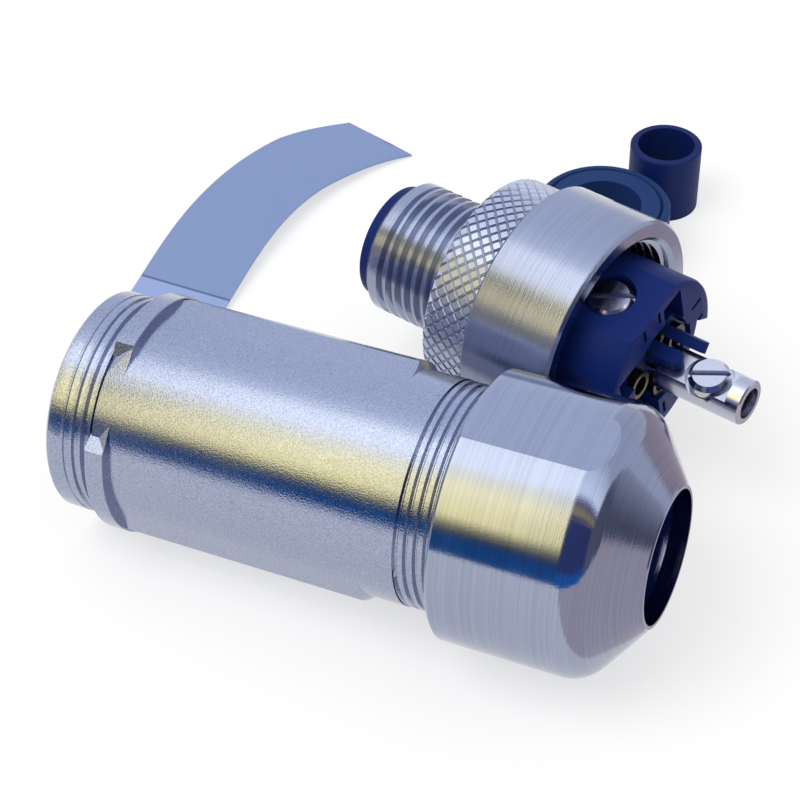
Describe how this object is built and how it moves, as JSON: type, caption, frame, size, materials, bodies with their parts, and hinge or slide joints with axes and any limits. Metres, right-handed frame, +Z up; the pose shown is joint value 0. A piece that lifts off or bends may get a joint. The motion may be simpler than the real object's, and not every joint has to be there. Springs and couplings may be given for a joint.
{
  "type": "plug connector",
  "caption": "Field-wired circular plug connector with a knurled coupling nut, screw terminals and a cable gland, laid out taken apart for wiring.",
  "frame": {"origin": "bottom centre of the bounding box of the whole layout, on the table", "axes": "+Z up from the table, +X along the rear sleeve in plan towards its gland nut, +Y away from the sleeve towards the loose seals behind it"},
  "size_m": [0.0616, 0.0718, 0.0219],
  "materials": {
    "nickel": "nickel plate, satin to bright, on a cast and turned metal body",
    "spring_steel": "bright spring steel",
    "contact_plate": "bright plated contact metal",
    "contact_brass": "bright brass",
    "dark_plastic": "very dark blue moulded plastic, slightly glossy",
    "cage_plastic": "dark plain plastic",
    "dark_rubber": "dark rubber",
    "foil": "thin metal foil tape, satin"
  },
  "bodies": {
    "housing": {"rear_sleeve": "nickel", "clamp_cage": "cage_plastic", "front_shell": "nickel", "retaining_ring": "spring_steel", "contact_insert": "dark_plastic", "insert_gasket": "dark_rubber", "contact_1": "contact_brass", "contact_2": "contact_brass", "contact_3": "contact_brass", "contact_4": "contact_brass", "centre_contact": "contact_plate", "cable_seal": "dark_rubber", "reducing_tube": "dark_rubber", "shield_tape": "foil"},
    "thrust_ring": {"thrust_ring": "cage_plastic"},
    "gland_nut": {"gland_nut": "nickel"},
    "coupling_nut": {"coupling_nut": "nickel"},
    "terminal_screw_1": {"terminal_screw_1": "contact_plate"},
    "terminal_screw_2": {"terminal_screw_2": "contact_plate"},
    "terminal_screw_3": {"terminal_screw_3": "contact_plate"},
    "terminal_screw_4": {"terminal_screw_4": "contact_plate"},
    "centre_screw": {"centre_screw": "contact_plate"}
  },
  "joints": [
    {"name": "thrust_ring_slide", "type": "slide", "parent": "housing", "child": "thrust_ring", "axis": [-0.9994, 0, -0.034], "range_m": [0, 0.003]},
    {"name": "gland_nut_turn", "type": "hinge", "parent": "thrust_ring", "child": "gland_nut", "pos_m": [0.02448, -0.025, 0.01116], "axis": [-0.9994, 0, -0.034], "range_deg": [0, 1080]},
    {"name": "coupling_nut_turn", "type": "hinge", "parent": "housing", "child": "coupling_nut", "pos_m": [0.00501, 0.00055, 0.0108], "axis": [-0.9747, 0.2236, 0], "continuous": true},
    {"name": "terminal_screw_1_turn", "type": "hinge", "parent": "housing", "child": "terminal_screw_1", "pos_m": [0.01772, -0.00392, 0.01609], "axis": [-0.0616, -0.2687, 0.9613], "range_deg": [0, 720]},
    {"name": "terminal_screw_2_turn", "type": "hinge", "parent": "housing", "child": "terminal_screw_2", "pos_m": [0.01924, 0.00271, 0.01232], "axis": [0.2149, 0.9369, 0.2756], "range_deg": [0, 720]},
    {"name": "terminal_screw_3_turn", "type": "hinge", "parent": "housing", "child": "terminal_screw_3", "pos_m": [0.01839, -0.00096, 0.00551], "axis": [0.0616, 0.2687, -0.9613], "range_deg": [0, 720]},
    {"name": "terminal_screw_4_turn", "type": "hinge", "parent": "housing", "child": "terminal_screw_4", "pos_m": [0.01687, -0.00759, 0.00928], "axis": [-0.2149, -0.9369, -0.2756], "range_deg": [0, 720]},
    {"name": "centre_screw_turn", "type": "hinge", "parent": "housing", "child": "centre_screw", "pos_m": [0.02679, -0.0046, 0.01133], "axis": [-0.0616, -0.2687, 0.9613], "range_deg": [0, 720]}
  ],
  "couplings": [
    {"joint": "thrust_ring_slide", "follows": "gland_nut_turn", "m_per_rad": 0.00015915}
  ]
}
